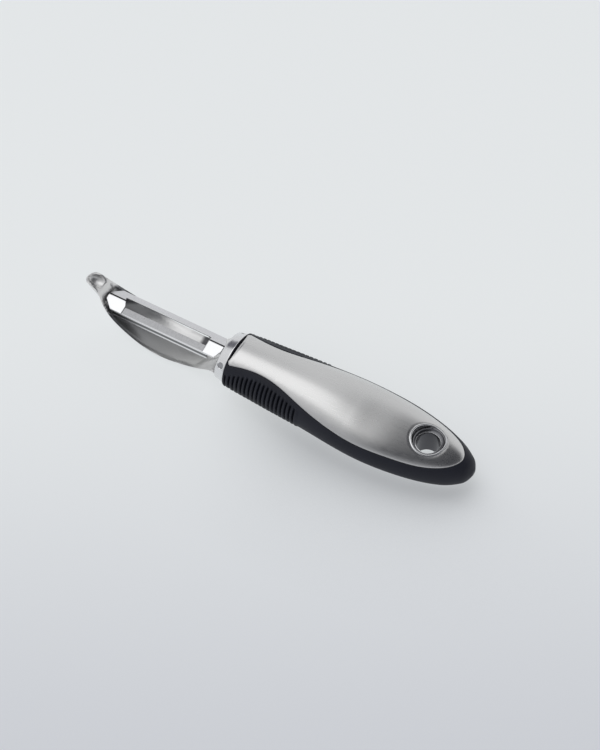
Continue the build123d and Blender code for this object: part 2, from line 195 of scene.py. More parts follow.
def grid_mesh(name, rows, round_rows=False, cap_start=False, cap_end=False):
    """A smooth mesh through rows of points in millimetres, outward when a row runs anticlockwise."""
    count, width = len(rows), len(rows[0])
    points = [Vector(point) * mm for row in rows for point in row]
    faces = []
    steps = width if round_rows else width - 1
    for i in range(count - 1):
        for j in range(steps):
            after = (j + 1) % width
            faces.append((i * width + j, i * width + after, (i + 1) * width + after, (i + 1) * width + j))
    if cap_start:
        faces.append(tuple(range(width))[::-1])
    if cap_end:
        faces.append(tuple((count - 1) * width + j for j in range(width)))
    mesh = bpy.data.meshes.new(name)
    mesh.from_pydata(points, [], faces)
    tidy = bmesh.new()
    tidy.from_mesh(mesh)
    bmesh.ops.remove_doubles(tidy, verts=tidy.verts, dist=1e-6)
    bmesh.ops.dissolve_degenerate(tidy, edges=tidy.edges, dist=1e-7)
    bmesh.ops.recalc_face_normals(tidy, faces=tidy.faces)
    tidy.to_mesh(mesh)
    tidy.free()
    mesh.shade_smooth()
    return mesh


table_half_width = 1500.0
table_drop = 0.05
table_glow = 0.6
sweep_near = -0.24
sweep_far = 0.06
shadow_reach = 0.07
shadow_depth = 1.7
shadow_start = -0.025
shadow_full = 0.035
shadow_border = 0.012

table_finish = Finish("table_top")
table_x, table_y = table_finish.axes(table_finish.place())[:2]
table_cloud = table_finish.noise((1, 1, 1), 3.0)
table_finish.set(
    Base_Color=table_finish.blend(table_cloud, (0.85, 0.87, 0.91, 1), (0.87, 0.89, 0.93, 1)),
    Roughness=0.7,
    Specular_IOR_Level=0.2,
)
# The far side of the sweep is a little paler than the near side.
sweep = table_finish.ramp(table_y * 0.86 - table_x * 0.50, sweep_near, sweep_far)
sweep_colour = table_finish.blend(sweep, (0.66, 0.68, 0.73, 1), (0.97, 1.0, 1.0, 1))
ray = table_finish.add("ShaderNodeLightPath", {}, {}, "Is Camera Ray")
direct = (ray + ray.output("Is Glossy Ray") + ray.output("Is Transmission Ray")).at_most(1.0)
# The sweep is darker where the tool hides much of the room, most of all on the handle's near side.
open_sky = table_finish.add("ShaderNodeAmbientOcclusion", {"samples": 8}, {"Distance": shadow_reach}, "AO")
shadow_side = table_finish.ramp(table_x, shadow_start, shadow_full)
shadow_side = shadow_side * table_finish.ramp(table_y, shadow_border, -shadow_border)
shadow = open_sky * (1 - open_sky) * shadow_depth * shadow_side
sweep_colour = table_finish.blend(shadow, sweep_colour, (0.02, 0.02, 0.03, 1))
glow = table_finish.add("ShaderNodeEmission", {}, {"Color": sweep_colour, "Strength": 1.0})
matt = Value(table_finish.tree, table_finish.shader.outputs[0])
surface = table_finish.add("ShaderNodeMixShader", {}, {0: direct * table_glow, 1: matt, 2: glow})
join(table_finish.tree, surface, table_finish.tree.nodes["Material Output"].inputs["Surface"])
edge = table_half_width
table_rows = [[(x, y, -table_drop) for x in (-edge, edge)] for y in (-edge, edge)]
table = link_mesh("table_top", grid_mesh("table_top", table_rows), table_finish.material)

# Studio light
# A broad soft box hangs overhead to the left. The room is pale all round, but dark overhead to the
# right, where the camera stands, and in one spot at the left.
def soft_lamp(name, place, aim, width, height, power, colour):
    """A rectangular soft lamp that points at a place."""
    lamp = bpy.data.lights.new(name, "AREA")
    lamp.shape = "RECTANGLE"
    lamp.size = width
    lamp.size_y = height
    lamp.energy = power
    lamp.color = colour
    holder = bpy.data.objects.new(name, lamp)
    holder.location = place
    holder.rotation_mode = "QUATERNION"
    holder.rotation_quaternion = (Vector(aim) - Vector(place)).to_track_quat("-Z", "Y")
    scene.collection.objects.link(holder)


box_side = 1.3
box_power = 2.7
soft_lamp("overhead_box", (-0.62, -0.08, 1.60), (0, 0, 0), box_side, box_side, box_power, (1.0, 1.0, 1.0))

room = bpy.data.worlds.new("room")
scene.world = room
room.use_nodes = True
room_nodes = Graph(room.node_tree)
room_way = room_nodes.add("ShaderNodeTexCoord", {}, {}, "Generated")
way_x, way_y, way_z = room_nodes.axes(room_way)
near_side = room_nodes.ramp(way_x * 0.5 - way_y, 0.35, 0.75)
walls = room_nodes.blend(near_side, (0.74, 0.75, 0.76, 1), (0.42, 0.43, 0.45, 1))
overhead = room_nodes.ramp(way_x, -0.05, 0.12) * room_nodes.ramp(way_z, 0.42, 0.72)
walls = room_nodes.blend(overhead, walls, (0.045, 0.047, 0.055, 1))
dark_spot = (-0.65, 0.50, 0.57)
spot_axis = {0: room_way, 1: dark_spot}
spot = room_nodes.add("ShaderNodeVectorMath", {"operation": "DOT_PRODUCT"}, spot_axis, "Value")
walls = room_nodes.blend(room_nodes.ramp(spot, 0.955, 0.985), walls, (0.12, 0.12, 0.14, 1))
room_light = room.node_tree.nodes["Background"]
join(room.node_tree, walls, room_light.inputs["Color"])
room_light.inputs["Strength"].default_value = 1.0


# Handle plates
# Two domed plates of satin steel cover the top and the underside of the handle. They are pressed
# from sheet, brushed along their length, and held by hidden studs.
def smooth_through(places, values):
    """A natural cubic curve through points, as a function of the place."""
    x = np.array(places, float)
    y = np.array(values, float)
    step = np.diff(x)
    slope = np.diff(y) / step
    count = len(x)
    matrix = np.eye(count)
    right = np.zeros(count)
    for i in range(1, count - 1):
        matrix[i, i - 1:i + 2] = step[i - 1], 2 * (step[i - 1] + step[i]), step[i]
        right[i] = 6 * (slope[i] - slope[i - 1])
    bend = np.linalg.solve(matrix, right)

    def curve(place):
        i = int(np.clip(np.searchsorted(x, place) - 1, 0, count - 2))
        after, before = x[i + 1] - place, place - x[i]
        cubic = (bend[i] * after ** 3 + bend[i + 1] * before ** 3) / (6 * step[i])
        first = (y[i] / step[i] - bend[i] * step[i] / 6) * after
        return cubic + first + (y[i + 1] / step[i] - bend[i + 1] * step[i] / 6) * before

    return curve


handle_start = -20.0
handle_length = 120.0
handle_half_width = 18.7
handle_height = 24.5
handle_sections = (
    (0.000, 0.743, 0.967, 0.057),
    (0.100, 0.775, 0.984, 0.026),
    (0.208, 0.824, 0.996, 0.006),
    (0.333, 0.882, 1.000, 0.000),
    (0.458, 0.963, 0.963, 0.000),
    (0.583, 1.000, 0.894, 0.000),
    (0.667, 0.972, 0.872, 0.000),
    (0.750, 0.899, 0.849, 0.000),
    (0.817, 0.805, 0.824, 0.004),
    (0.883, 0.668, 0.788, 0.020),
    (0.933, 0.519, 0.731, 0.073),
    (0.967, 0.373, 0.661, 0.155),
    (0.9875, 0.231, 0.580, 0.253),
    (0.998, 0.095, 0.490, 0.363),
)
along_handle = [handle_start + handle_length * row[0] for row in handle_sections]
handle_width_at = smooth_through(along_handle, [handle_half_width * row[1] for row in handle_sections])
handle_top_at = smooth_through(along_handle, [handle_height * row[2] for row in handle_sections])
handle_under_at = smooth_through(along_handle, [handle_height * row[3] for row in handle_sections])


def handle_section(x):
    """Half width, middle height and half height of the handle at a place along it."""
    top, under = handle_top_at(x), handle_under_at(x)
    return handle_width_at(x), (top + under) / 2, (top - under) / 2


plate_start = -19.6
plate_length = 113.9
plate_half_width = 16.4
plate_thickness = 0.95
plate_corner = 1.6
plate_rounding = 0.45
plate_outline = (
    (0.000, 0.610),
    (0.075, 0.531),
    (0.125, 0.508),
    (0.205, 0.552),
    (0.316, 0.732),
    (0.418, 0.885),
    (0.590, 1.000),
    (0.755, 0.905),
    (0.870, 0.735),
    (0.940, 0.525),
    (0.982, 0.290),
    (1.000, 0.000),
    (0.982, -0.290),
)
hole_centre = 77.0
hole_rim = 8.5
outline_steps = 220
corner_steps = 6
hole_gap = 0.05
hole_rounding = 0.12
hole_border = 1.2
hole_points = 72
sheet_spacing = 1.3
sag_start = 0.042
sag_end = 0.098
sag_depth = 0.0052


def plate_edge():
    """The plate's edge on its +Y side from the front to the tail, as (x, y) points."""
    xs = [plate_start + plate_length * row[0] for row in plate_outline]
    ys = [plate_half_width * row[1] for row in plate_outline]
    runs = [0.0]
    for i in range(1, len(xs)):
        runs.append(runs[-1] + math.hypot(xs[i] - xs[i - 1], ys[i] - ys[i - 1]))
    x_at, y_at = smooth_through(runs, xs), smooth_through(runs, ys)
    tail_run = runs[-2]
    edge = []
    for i in range(outline_steps + 1):
        run = tail_run * i / outline_steps
        edge.append((x_at(run), y_at(run)))
    corner_x = plate_start + plate_corner
    corner_y = np.interp(corner_x, [p[0] for p in edge], [p[1] for p in edge])
    turn = []
    for i in range(corner_steps + 1):
        angle = math.pi - math.pi / 2 * i / corner_steps
        turn.append((corner_x + plate_corner * math.cos(angle),
                     corner_y - plate_corner + plate_corner * math.sin(angle)))
    rest = [p for p in edge if p[0] > corner_x + 0.3]
    return turn + rest


plate_side = plate_edge()
plate_side_x = [p[0] for p in plate_side]
plate_side_y = [p[1] for p in plate_side]


def plate_width_at(x):
    """The plate's half width at a place along it, and zero past its tail."""
    return float(np.interp(x, plate_side_x, plate_side_y, right=0.0))


def plate_sheet(side):
    """One plate's outer sheet as a mesh, with rounded borders; side is 1 on top and -1 below."""
    loop = plate_side[:-1] + [(x, -y) for x, y in reversed(plate_side)]
    points, edges, drops = [], [], []

    def add_loop(ring, drop):
        start = len(points)
        for i, point in enumerate(ring):
            points.append(point)
            drops.append(drop)
            edges.append((start + i, start + (i + 1) % len(ring)))

    centre = np.array(loop)
    ahead, behind = np.roll(centre, -1, axis=0), np.roll(centre, 1, axis=0)
    tangent = ahead - behind
    tangent /= np.linalg.norm(tangent, axis=1)[:, None]
    inward = np.stack([tangent[:, 1], -tangent[:, 0]], axis=1)
    for share in (0.0, 0.12, 0.4, 1.0):
        inset = plate_rounding * share
        drop = plate_rounding - math.sqrt(plate_rounding ** 2 - (plate_rounding - inset) ** 2)
        add_loop([tuple(p) for p in centre + inward * inset], drop)
    for inset in (0.0, hole_rounding * 0.4, hole_rounding, hole_border):
        drop = hole_rounding - math.sqrt(hole_rounding ** 2 - max(0.0, hole_rounding - inset) ** 2)
        radius = hole_rim + hole_gap + inset
        turn = [math.tau * i / hole_points for i in range(hole_points)]
        add_loop([(hole_centre + radius * math.cos(t), radius * math.sin(t)) for t in turn], drop)
    margin = plate_rounding + sheet_spacing / 2
    rows = int(plate_length / sheet_spacing) + 1
    for i in range(rows):
        x = plate_start + margin + i * sheet_spacing
        half = min(plate_width_at(x), plate_width_at(x - margin), plate_width_at(x + margin)) - margin
        count = int(half / sheet_spacing)
        for j in range(-count, count + 1):
            y = sheet_spacing * (j + 0.5 * (i % 2))
            from_rim = math.hypot(x - hole_centre, y) - hole_rim
            if abs(y) < half and from_rim > hole_border + sheet_spacing / 2:
                points.append((x, y))
                drops.append(0.0)
    made, _, faces, origins, _, _ = delaunay_2d_cdt([Vector(p) for p in points], edges, [], 1, 1e-5)
    vertices = []
    for point, source in zip(made, origins):
        x, y = point
        width, middle, half_height = handle_section(x)
        level = half_height * math.sqrt(max(0.0, 1 - (y / width) ** 2))
        drop = drops[source[0]] if source else 0.0
        vertices.append(Vector((x, y, middle + side * (level - drop))) * mm)
    kept = []
    for face in faces:
        x = sum(made[i][0] for i in face) / len(face)
        y = sum(made[i][1] for i in face) / len(face)
        if math.hypot(x - hole_centre, y) > hole_rim and abs(y) < plate_width_at(x):
            kept.append(tuple(face))
    mesh = bpy.data.meshes.new("plate")
    mesh.from_pydata(vertices, [], kept)
    shell = bmesh.new()
    shell.from_mesh(mesh)
    loose = [v for v in shell.verts if not v.link_faces]
    bmesh.ops.delete(shell, geom=loose, context="VERTS")
    shell.faces.ensure_lookup_table()
    for face in shell.faces:
        face.normal_update()
    wrong = [f for f in shell.faces if f.normal.z * side < 0]
    bmesh.ops.reverse_faces(shell, faces=wrong)
    shell.to_mesh(mesh)
    shell.free()
    mesh.shade_smooth()
    return mesh


def plate_sag(finish):
    """The plate's slight sag towards the hole, as a height in metres along X."""
    along = finish.axes(finish.place())[0]
    return finish.ramp(along, sag_start, sag_end) * -sag_depth


streak_contrast = 0.22


def brushed_steel(name, tone, streak, roughness, relief=None, shade=None):
    """Satin steel brushed along X: fine streaks, a soft cloudiness and a few deeper lines."""
    finish = Finish(name)
    sag = relief(finish) if relief else 0.0
    fine = finish.noise((0.03, 1, 1), 5200.0, 2.0)
    long_lines = finish.noise((0.012, 1, 1), 1500.0, 4.0)
    cloud = finish.noise((0.5, 1, 1), 60.0, 3.0)
    grain = fine * 0.6 + long_lines * 0.4
    cover = (grain * 0.6 + cloud * 0.4 - 0.5) * streak + 0.5
    dark = tuple(c * (1 - streak_contrast) for c in tone) + (1,)
    light = tuple(min(1.0, c * (1 + streak_contrast)) for c in tone) + (1,)
    colour = finish.blend(cover, dark, light)
    finish.set(
        Base_Color=shade(finish, colour) if shade else colour,
        Metallic=1.0,
        Roughness=roughness + (grain - 0.5) * 0.12 + (cloud - 0.5) * 0.05,
    )
    finish.bump(grain * 0.000012 + sag)
    return finish


plate_finish = brushed_steel("plate_steel", (0.70, 0.695, 0.69), 0.6, 0.29, plate_sag)
for name, node, side in (("top_plate_skin", "top_plate", 1), ("bottom_plate_skin", "bottom_plate", -1)):
    plate = link_mesh(name, plate_sheet(side), plate_finish.material)
    wall = plate.modifiers.new("wall", "SOLIDIFY")
    wall.thickness = plate_thickness * mm
    wall.offset = -1.0
    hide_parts(node)
    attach(plate, "handle")

# Rubber grip
# A band of soft black rubber, moulded round the core between the two plates. It wraps both sides,
# the front edge and the tail, with a row of upright fins for finger and thumb.
fin_start = -19.1
fin_pitch = 2.14
fin_total = 18
fin_depth = 1.2
fin_rise = 0.35
fin_margin_front = 3.7
fin_margin_rear = 2.2
plate_recess = 1.15
plate_line = 0.22
front_rounding = 0.35
side_points = 52
plate_points = 9


def grip_row(x, inset, recess):
    """One closed section of the grip: sides at full size, plate seats sunk by a recess.

    A second list says how far each point lies out from the plate's edge, below zero in a seat.
    """
    width, middle, height = handle_section(x)
    reach = plate_start + plate_length
    plate_half = plate_width_at(max(x, plate_start)) if x < reach else 0.0
    seat_half = plate_half + plate_line if plate_half > 0 else 0.0
    seat_angle = math.asin(min(1.0, seat_half / width))
    points, clearances = [], []

    def put(angle, depth, clearance):
        points.append((x, (width - depth) * math.sin(angle), middle + (height - depth) * math.cos(angle)))
        clearances.append(clearance)

    for turn in (0.0, math.pi):
        for i in range(plate_points):
            angle = turn + seat_angle * (2 * i / (plate_points - 1) - 1)
            put(angle, inset + recess, -1.0)
        for i in range(side_points):
            angle = turn + seat_angle + (math.pi - 2 * seat_angle) * i / (side_points - 1)
            put(angle, inset, width * abs(math.sin(angle)) - plate_half)
    return points, clearances


fin_row_step = 0.19
smooth_row_step = 0.7
tail_row_step = 0.3
tail_run = 8.0
fin_end = fin_start + fin_pitch * fin_total
plate_end = plate_start + plate_length
handle_end = handle_start + handle_length * handle_sections[-1][0]
front_rows = ((0.0, front_rounding), (0.1, front_rounding * 0.3), (front_rounding, 0.0))
grip_sections = [grip_row(handle_start + x, inset, 0.0) for x, inset in front_rows]
grip_sections.append(grip_row(plate_start - plate_line - 0.02, 0.0, 0.0))
for start, end, step in (
    (plate_start - plate_line, fin_end, fin_row_step),
    (fin_end, handle_end - tail_run, smooth_row_step),
    (handle_end - tail_run, handle_end, tail_row_step),
):
    for x in np.arange(start, end, step):
        recess = plate_recess if x < plate_end + plate_line else 0.0
        grip_sections.append(grip_row(float(x), 0.0, recess))
grip_sections.append(grip_row(handle_end, 0.0, 0.0))
grip_rows = [section[0] for section in grip_sections]

grip_finish = Finish("grip_rubber")
speckle = grip_finish.noise((1, 1, 1), 2600.0, 2.0)
dust = grip_finish.noise((1, 1, 1), 90.0, 4.0)
grip_finish.set(
    Base_Color=grip_finish.blend(dust, (0.009, 0.010, 0.017, 1), (0.019, 0.021, 0.034, 1)),
    Roughness=0.52 + (dust - 0.5) * 0.16 + (speckle - 0.5) * 0.08,
    Specular_IOR_Level=0.35,
)
grip_finish.bump(speckle * 0.00001)
grip = link_mesh("grip_band", grid_mesh("grip_band", grip_rows, True, True, True), grip_finish.material)
clearance_at = {}
for points, clearances in grip_sections:
    for point, clearance in zip(points, clearances):
        clearance_at[tuple(round(value, 3) for value in point)] = clearance
clearance_field = grip.data.attributes.new("clearance", "FLOAT", "POINT")
for vertex in grip.data.vertices:
    key = tuple(round(value / mm, 3) for value in vertex.co)
    clearance_field.data[vertex.index].value = clearance_at.get(key, -1.0) * mm


def fin_tree():
    """Upright fins, as even grooves sunk into a side band outside a margin from the plate's edge."""
    tree = bpy.data.node_groups.new("upright_fins", "GeometryNodeTree")
    tree.interface.new_socket("Band", in_out="INPUT", socket_type="NodeSocketGeometry")
    for name in ("Start", "Pitch", "Total", "Depth", "Rise", "Front Margin", "Rear Margin"):
        tree.interface.new_socket(name, in_out="INPUT", socket_type="NodeSocketFloat")
    tree.interface.new_socket("Rubber", in_out="INPUT", socket_type="NodeSocketMaterial")
    tree.interface.new_socket("Band", in_out="OUTPUT", socket_type="NodeSocketGeometry")
    graph = Graph(tree)
    band = graph.add("NodeGroupInput", {}, {})
    x, y, z = graph.axes(graph.add("GeometryNodeInputPosition", {}, {}))
    along = (x - band.output("Start")) / band.output("Pitch")
    phase = along % 1.0
    groove = graph.ramp(phase, 0.02, 0.22) * (1 - graph.ramp(phase, 0.38, 0.58))
    inside = along.above(0.0) * (1 - along.above(band.output("Total")))
    share = along / band.output("Total")
    margin = band.output("Front Margin") * (1 - share) + band.output("Rear Margin") * share
    clearance = graph.add("GeometryNodeInputNamedAttribute", {"data_type": "FLOAT"}, {"Name": "clearance"})
    clear = graph.ramp(clearance - margin, -0.8 * mm, 0.5 * mm)
    outward = graph.add("GeometryNodeInputNormal", {}, {})
    height = (band.output("Rise") * (1 - groove) - band.output("Depth") * groove) * inside * clear
    shift = graph.add("ShaderNodeVectorMath", {"operation": "SCALE"}, {0: outward, "Scale": height})
    sunk = graph.add("GeometryNodeSetPosition", {}, {"Geometry": band, "Offset": shift})
    real = graph.add("GeometryNodeRealizeInstances", {}, {"Geometry": sunk})
    dressed = graph.add("GeometryNodeSetMaterial", {}, {"Geometry": real, "Material": band.output("Rubber")})
    join(tree, dressed, tree.nodes.new("NodeGroupOutput").inputs["Band"])
    return tree


def make_plain(piece):
    """Turn a piece with modifiers into the plain mesh that they give."""
    bpy.context.view_layer.update()
    shaped = bpy.data.meshes.new_from_object(piece.evaluated_get(bpy.context.evaluated_depsgraph_get()))
    piece.modifiers.clear()
    piece.data = shaped


def bake_tree(piece, tree, values):
    """Run a geometry tree on a piece with its inputs set by name, and keep the plain mesh."""
    maker = piece.modifiers.new(tree.name, "NODES")
    maker.node_group = tree
    for socket in tree.interface.items_tree:
        if socket.in_out == "INPUT" and socket.name in values:
            maker[socket.identifier] = values[socket.name]
    make_plain(piece)


bake_tree(grip, fin_tree(), {
    "Start": fin_start * mm,
    "Pitch": fin_pitch * mm,
    "Total": float(fin_total),
    "Depth": fin_depth * mm,
    "Rise": fin_rise * mm,
    "Front Margin": fin_margin_front * mm,
    "Rear Margin": fin_margin_rear * mm,
    "Rubber": grip_finish.material,
})
hole_rows = []
plug_overrun = 1.0
for height in (-plug_overrun, handle_height + plug_overrun):
    turn = [math.tau * i / hole_points for i in range(hole_points)]
    radius = hole_rim + 0.02
    hole_rows.append([(hole_centre + radius * math.cos(t), radius * math.sin(t), height) for t in turn])
hole_plug = link_mesh("hole_plug", grid_mesh("hole_plug", hole_rows, True, True, True), grip_finish.material)


def cut_away(piece, plug):
    """Cut a closed plug out of a closed piece for good, and remove the plug."""
    cut = piece.modifiers.new("cut", "BOOLEAN")
    cut.operation = "DIFFERENCE"
    cut.solver = "EXACT"
    cut.object = plug
    make_plain(piece)
    bpy.data.objects.remove(plug)


cut_away(grip, hole_plug)
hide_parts("grip")
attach(grip, "handle")

# Hanging hole
# A steel eyelet with a proud rounded lip and a stepped dish lines the hole. Its tube is rolled over
# a matching dished washer under the handle.
hole_radius = 5.4
tube_wall = 0.9
dish_mouth = 5.45
tube_reach = 1.0
turn_points = 96


def dome_height(x, y, side):
    """Height of the handle's skin over or under a place."""
    width, middle, half_height = handle_section(x)
    return middle + side * half_height * math.sqrt(max(0.0, 1 - (y / width) ** 2))


def hole_rings(side, levels):
    """Rings round the hole. A level has a radius, a share of the dome and a height from it in mm."""
    top, under = handle_top_at(hole_centre), handle_under_at(hole_centre)
    hole_middle = (top + under) / 2
    rings = []
    for radius, dome_share, height in levels:
        ring = []
        for i in range(turn_points):
            angle = math.tau * i / turn_points
            x, y = hole_centre + radius * math.cos(angle), radius * math.sin(angle)
            z = hole_middle * (1 - dome_share) + dome_height(x, y, side) * dome_share + side * height
            ring.append((x, y, z))
        rings.append(ring)
    return rings


lip_levels = (
    (8.47, 1.0, -0.90),
    (8.47, 1.0, -0.10),
    (8.40, 1.0, 0.06),
    (8.22, 1.0, 0.17),
    (7.95, 1.0, 0.22),
    (7.66, 1.0, 0.17),
    (7.47, 1.0, 0.03),
    (7.38, 1.0, -0.22),
    (7.34, 0.9, -0.20),
)
dish_levels = (
    (7.22, 0.0, dish_mouth + 2.60),
    (7.05, 0.0, dish_mouth + 2.20),
    (6.75, 0.0, dish_mouth + 1.85),
    (6.35, 0.0, dish_mouth + 1.55),
    (6.00, 0.0, dish_mouth + 1.42),
    (5.80, 0.0, dish_mouth + 1.40),
    (5.68, 0.0, dish_mouth + 1.48),
    (5.54, 0.0, dish_mouth + 1.48),
    (5.45, 0.0, dish_mouth + 1.34),
    (5.42, 0.0, dish_mouth + 1.10),
)
tube_levels = (
    (hole_radius, 0.0, dish_mouth - 0.45),
    (hole_radius, 0.0, -dish_mouth - tube_reach + 0.45),
    (5.44, 0.0, -dish_mouth - tube_reach + 0.05),
    (5.62, 0.0, -dish_mouth - tube_reach - 0.10),
    (5.95, 0.0, -dish_mouth - tube_reach - 0.08),
    (hole_radius + tube_wall, 0.0, -dish_mouth - tube_reach + 0.15),
    (hole_radius + tube_wall, 0.0, dish_mouth - 0.90),
    (8.10, 0.0, dish_mouth + 1.10),
)


def polished_steel(name, tone, roughness, shade=None):
    """Smooth polished steel with faint swirls and handling haze."""
    finish = Finish(name)
    haze = finish.noise((1, 1, 1), 220.0, 4.0)
    swirl = finish.noise((1, 1, 1), 2400.0, 2.0)
    dark = tuple(c * (1 - 0.12) for c in tone) + (1,)
    colour = finish.blend(haze, dark, tuple(tone) + (1,))
    finish.set(
        Base_Color=shade(finish, colour) if shade else colour,
        Metallic=1.0,
        Roughness=roughness + (haze - 0.5) * 0.10,
    )
    finish.bump(swirl * 0.0000015)
    return finish


bead_foot = 0.0166
bead_top = 0.0170
bead_radius = 0.0058
lip_foot = 0.0178
lip_top = 0.0198
washer_lip_top = 0.0008
washer_lip_foot = 0.0030


def shaded_hole_inside(finish, colour):
    """Steel polished on the two lips and the tube's bead, with painted shade in the dish and darker painted
    shade down the tube.
    """
    x, y, height = finish.axes(finish.place())
    from_axis = (x - hole_centre * mm) * (x - hole_centre * mm) + y * y
    inside_bead = finish.ramp(from_axis, (bead_radius + 0.0001) ** 2, (bead_radius - 0.0001) ** 2)
    bead = finish.ramp(height, bead_foot, bead_top) * inside_bead
    lips = finish.ramp(height, lip_foot, lip_top) + 1 - finish.ramp(height, washer_lip_top, washer_lip_foot)
    polished = lips + bead * 0.7
    # Painted shade: dark in the dish and darker still down the tube.
    hole_shade = finish.blend(finish.ramp(height, 0.0155, 0.0168), (0.11, 0.11, 0.12, 1), (0.17, 0.17, 0.18, 1))
    return finish.blend(polished.at_most(1.0), hole_shade, colour)


eyelet_finish = polished_steel("eyelet_steel", (0.82, 0.82, 0.83), 0.20, shaded_hole_inside)
eyelet_levels = lip_levels + dish_levels + tube_levels + lip_levels[:1]
eyelet = link_mesh("hole_eyelet", grid_mesh("hole_eyelet", hole_rings(1, eyelet_levels), True),
                   eyelet_finish.material)
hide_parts("eyelet")
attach(eyelet, "handle")

washer_sink = 0.24
washer_bore = hole_radius + tube_wall + 0.05
washer_inner = (washer_bore, 0.0, dish_mouth + 0.60)
washer_back = ((washer_bore, 0.0, dish_mouth - 0.60), (8.10, 0.0, dish_mouth + 1.10))
washer_lip = tuple((radius, share, height - washer_sink) for radius, share, height in lip_levels)
washer_levels = washer_lip + dish_levels[:4] + (washer_inner,) + washer_back + washer_lip[:1]
washer = link_mesh("hole_washer", grid_mesh("hole_washer", hole_rings(-1, washer_levels), True),
                   eyelet_finish.material)
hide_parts("eyelet_washer")
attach(washer, "handle")

# Collar and its pins
# An oval steel ferrule, turned and polished, closes the joint between the head and the handle.
# A short round pin sits just below the surface on each upper flank and locks it to the neck.
collar_middle = 12.6
collar_points = 120
collar_rows = []
for x, half_width, half_height in (
    (-25.00, 9.10, 6.90),
    (-25.00, 11.85, 8.95),
    (-24.93, 12.08, 9.18),
    (-24.75, 12.20, 9.30),
    (-23.60, 12.40, 9.60),
    (-22.00, 12.75, 10.05),
    (-20.60, 13.08, 10.50),
    (-20.25, 13.12, 10.57),
    (-20.08, 13.00, 10.45),
    (-20.02, 12.75, 10.20),
    (-20.02, 9.10, 6.90),
    (-25.00, 9.10, 6.90),
):
    ring = []
    for i in range(collar_points):
        angle = math.tau * i / collar_points
        ring.append((x, half_width * math.cos(angle), collar_middle + half_height * math.sin(angle)))
    collar_rows.append(ring)
collar_finish = brushed_steel("collar_steel", (0.80, 0.80, 0.81), 0.35, 0.18)
collar = link_mesh("collar_ring", grid_mesh("collar_ring", collar_rows, True), collar_finish.material)
collar.data.set_sharp_from_angle(angle=math.radians(50))

collar_pin_angle = math.radians(34.0)
collar_pin_place = -22.5
pin_hole_radius = 1.36
pin_points = 32
flank_half_width = 12.7
flank_half_height = 10.0
for side in (1, -1):
    out_y = flank_half_width * math.cos(collar_pin_angle)
    out_z = flank_half_height * math.sin(collar_pin_angle)
    outward = Vector((0, side * out_y, out_z)).normalized()
    sideways = Vector((0, -outward.z, outward.y))
    pin_rows = []
    for reach in (6.0, 16.0):
        ring = []
        for i in range(pin_points):
            angle = math.tau * i / pin_points
            around = Vector((math.cos(angle), 0, 0)) + sideways * math.sin(angle)
            centre = Vector((collar_pin_place, 0, collar_middle)) + outward * reach
            ring.append(tuple(centre + around * pin_hole_radius))
        pin_rows.append(ring)
    pin_mesh = grid_mesh("pin_plug", pin_rows, True, True, True)
    cut_away(collar, link_mesh("pin_plug", pin_mesh, collar_finish.material))
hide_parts("collar")
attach(collar, "handle")


def dress(node, finish):
    """Give a CAD node its finish."""
    for index in range(len(nodes[node].data.materials)):
        nodes[node].data.materials[index] = finish.material


pin_finish = polished_steel("pin_steel", (0.50, 0.50, 0.51), 0.42)
dress("collar_pins", pin_finish)

# Head
# One investment casting in stainless steel: a spoon-shaped bow with thin rims under the blade, a
# gouging scoop at the tip, the post behind it and the neck. It is tumbled to a soft satin.
def smooth_copy(node, name, finish, angle):
    """A merged copy of a CAD node, smooth across every edge flatter than an angle."""
    mesh = nodes[node].data.copy()
    mesh.materials.clear()
    tidy = bmesh.new()
    tidy.from_mesh(mesh)
    bmesh.ops.remove_doubles(tidy, verts=tidy.verts, dist=2e-6)
    tidy.to_mesh(mesh)
    tidy.free()
    mesh.shade_smooth()
    mesh.set_sharp_from_angle(angle=math.radians(angle))
    piece = link_mesh(name, mesh, finish.material)
    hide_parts(node)
    return piece


bow_front = -0.088
bow_rear = -0.033
floor_edge = 0.0065
far_wall_foot = 0.0075
far_wall_top = 0.0090
rear_shadow_front = -0.0445
rear_shadow_rear = -0.0345
rear_shadow_border = 0.0025
crease_angle = 38


def shaded_trough(finish, colour):
    """Painted shade darkens the trough's inner walls, most of all at the front.

    A painted shadow by the far wall at the rear is darker still.
    """
    x, y, z = finish.axes(finish.place())
    normal = finish.add("ShaderNodeNewGeometry", {}, {}, "Normal")
    facing = finish.axes(normal)
    inward = facing[1] * y
    trough = finish.ramp(x, bow_front - 0.0005, bow_front + 0.0010)
    trough = trough * (1 - finish.ramp(x, bow_rear - 0.003, bow_rear))
    far_half = finish.ramp(y, 0.0, 0.0020)
    floor = finish.ramp(y, -floor_edge - 0.001, -floor_edge + 0.001) * finish.ramp(facing[2], 0.0, 0.3)
    near_wall = (finish.ramp(inward, -0.0001, -0.0009) + floor).at_most(1.0) * (1 - far_half)
    far_wall = finish.ramp(inward, 0.0040, 0.0010) * finish.ramp(z, far_wall_foot, far_wall_top) * far_half
    trough = trough * (near_wall + far_wall)
    # A painted shadow by the far wall at the rear of the trough.
    rear_shadow = finish.ramp(x, rear_shadow_front, rear_shadow_front + rear_shadow_border)
    rear_shadow = rear_shadow * (1 - finish.ramp(x, rear_shadow_rear - rear_shadow_border, rear_shadow_rear))
    rear_shadow = rear_shadow * finish.ramp(y, 0.0010, 0.0045)
    # Painted shade on the trough's walls: darkest at the front, paler towards the rear.
    skin = finish.blend(finish.ramp(x, bow_front, bow_rear), (0.23, 0.23, 0.24, 1), (0.56, 0.56, 0.55, 1))
    return finish.blend(rear_shadow, finish.blend(trough, colour, skin), (0.12, 0.12, 0.125, 1))


